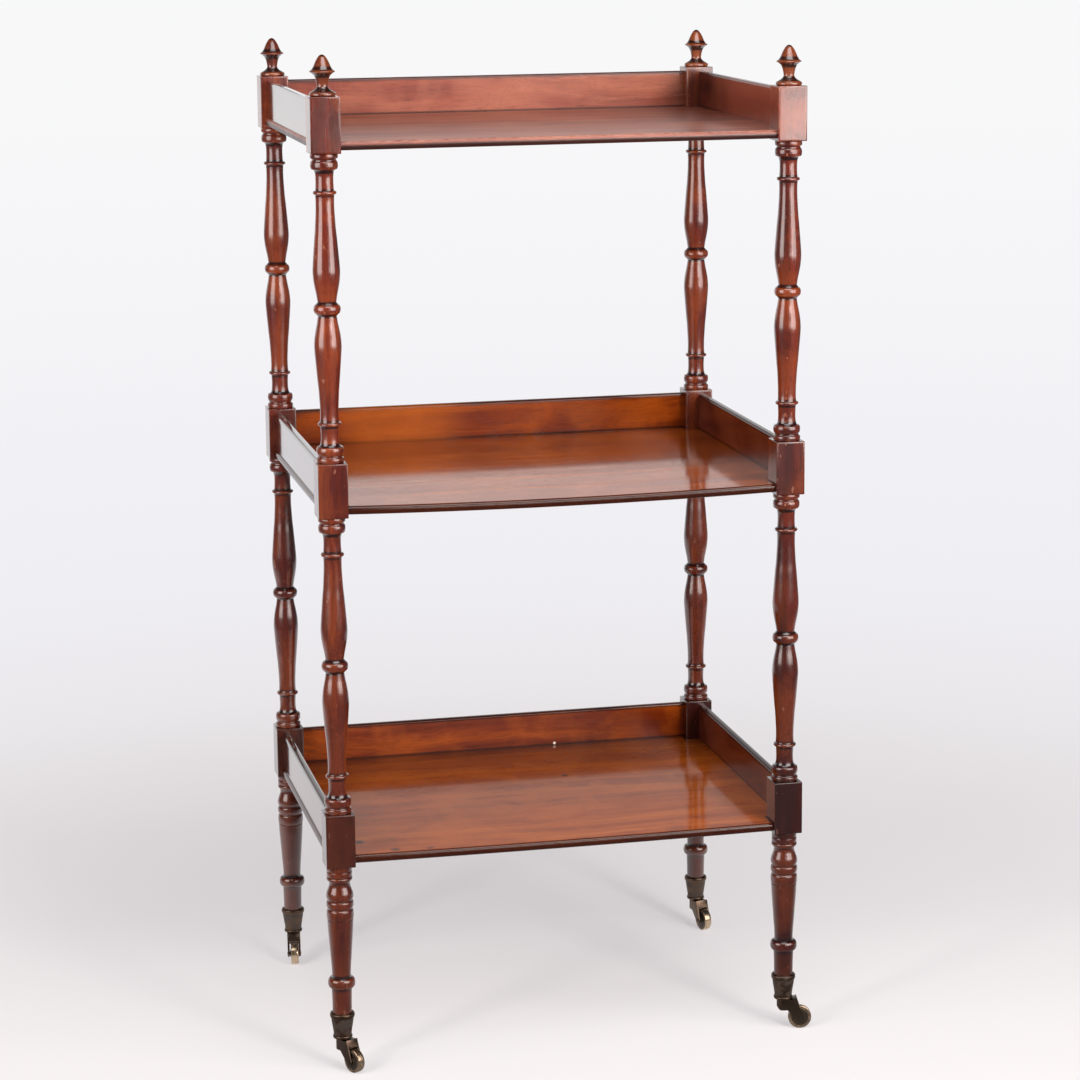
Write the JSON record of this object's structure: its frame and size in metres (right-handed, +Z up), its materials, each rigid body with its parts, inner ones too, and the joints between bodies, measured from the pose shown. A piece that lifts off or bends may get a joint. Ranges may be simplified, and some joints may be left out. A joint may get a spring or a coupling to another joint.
{
  "type": "etagere",
  "caption": "Open shelving stand with turned corner posts, tray shelves with low gallery boards, turned finials and small swivelling brass casters.",
  "frame": {"origin": "on the floor, at the centre of the whole footprint with its casters as they trail; the middle of the four posts is 8 mm to its left and 7 mm behind it", "axes": "+Z up; +X to the right and +Y to the back as seen from the open front, which faces -Y"},
  "size_m": [0.5475, 0.4094, 1.0957],
  "materials": {
    "turned_mahogany": "French-polished turned mahogany, plum-brown",
    "finial_mahogany": "French-polished turned mahogany, lighter",
    "shelf_mahogany": "polished mahogany board, grain along its length",
    "gallery_mahogany": "polished mahogany board",
    "cup_brass": "aged cast brass, dark olive",
    "screw_brass": "aged brass screws",
    "fork_brass": "aged cast brass, dark",
    "pin_iron": "riveted iron pin, darkened",
    "wheel_brass": "turned brass wheel, worn bright on the tread"
  },
  "bodies": {
    "frame": {"post_front_left": "turned_mahogany", "post_front_right": "turned_mahogany", "post_back_left": "turned_mahogany", "post_back_right": "turned_mahogany", "finial_front_left": "finial_mahogany", "finial_front_right": "finial_mahogany", "finial_back_left": "finial_mahogany", "finial_back_right": "finial_mahogany", "shelf_lower": "shelf_mahogany", "shelf_middle": "shelf_mahogany", "shelf_upper": "shelf_mahogany", "gallery_back_lower": "gallery_mahogany", "gallery_back_middle": "gallery_mahogany", "gallery_back_upper": "gallery_mahogany", "gallery_left_lower": "gallery_mahogany", "gallery_left_middle": "gallery_mahogany", "gallery_left_upper": "gallery_mahogany", "gallery_right_lower": "gallery_mahogany", "gallery_right_middle": "gallery_mahogany", "gallery_right_upper": "gallery_mahogany", "caster_cup_front_left": "cup_brass", "caster_cup_front_right": "cup_brass", "caster_cup_back_left": "cup_brass", "caster_cup_back_right": "cup_brass", "cup_screws": "screw_brass"},
    "caster_front_left": {"caster_fork_front_left": "fork_brass", "swivel_pin_front_left": "pin_iron", "axle_front_left": "pin_iron"},
    "wheel_front_left": {"caster_wheel_front_left": "wheel_brass"},
    "caster_front_right": {"caster_fork_front_right": "fork_brass", "swivel_pin_front_right": "pin_iron", "axle_front_right": "pin_iron"},
    "wheel_front_right": {"caster_wheel_front_right": "wheel_brass"},
    "caster_back_left": {"caster_fork_back_left": "fork_brass", "swivel_pin_back_left": "pin_iron", "axle_back_left": "pin_iron"},
    "wheel_back_left": {"caster_wheel_back_left": "wheel_brass"},
    "caster_back_right": {"caster_fork_back_right": "fork_brass", "swivel_pin_back_right": "pin_iron", "axle_back_right": "pin_iron"},
    "wheel_back_right": {"caster_wheel_back_right": "wheel_brass"}
  },
  "joints": [
    {"name": "swivel_front_left", "type": "hinge", "parent": "frame", "child": "caster_front_left", "pos_m": [-0.258, -0.17515, 0.035], "axis": [0, 0, 1], "continuous": true},
    {"name": "spin_front_left", "type": "hinge", "parent": "caster_front_left", "child": "wheel_front_left", "pos_m": [-0.24864, -0.19123, 0.013], "axis": [0.8643, 0.503, 0], "continuous": true},
    {"name": "swivel_front_right", "type": "hinge", "parent": "frame", "child": "caster_front_right", "pos_m": [0.242, -0.17515, 0.035], "axis": [0, 0, 1], "continuous": true},
    {"name": "spin_front_right", "type": "hinge", "parent": "caster_front_right", "child": "wheel_front_right", "pos_m": [0.26017, -0.17914, 0.013], "axis": [0.2147, 0.9767, 0], "continuous": true},
    {"name": "swivel_back_left", "type": "hinge", "parent": "frame", "child": "caster_back_left", "pos_m": [-0.258, 0.18915, 0.035], "axis": [0, 0, 1], "continuous": true},
    {"name": "spin_back_left", "type": "hinge", "parent": "caster_back_left", "child": "wheel_back_left", "pos_m": [-0.2602, 0.17068, 0.013], "axis": [0.993, -0.1184, 0], "continuous": true},
    {"name": "swivel_back_right", "type": "hinge", "parent": "frame", "child": "caster_back_right", "pos_m": [0.242, 0.18915, 0.035], "axis": [0, 0, 1], "continuous": true},
    {"name": "spin_back_right", "type": "hinge", "parent": "caster_back_right", "child": "wheel_back_right", "pos_m": [0.24663, 0.17113, 0.013], "axis": [0.9686, 0.2487, 0], "continuous": true}
  ]
}
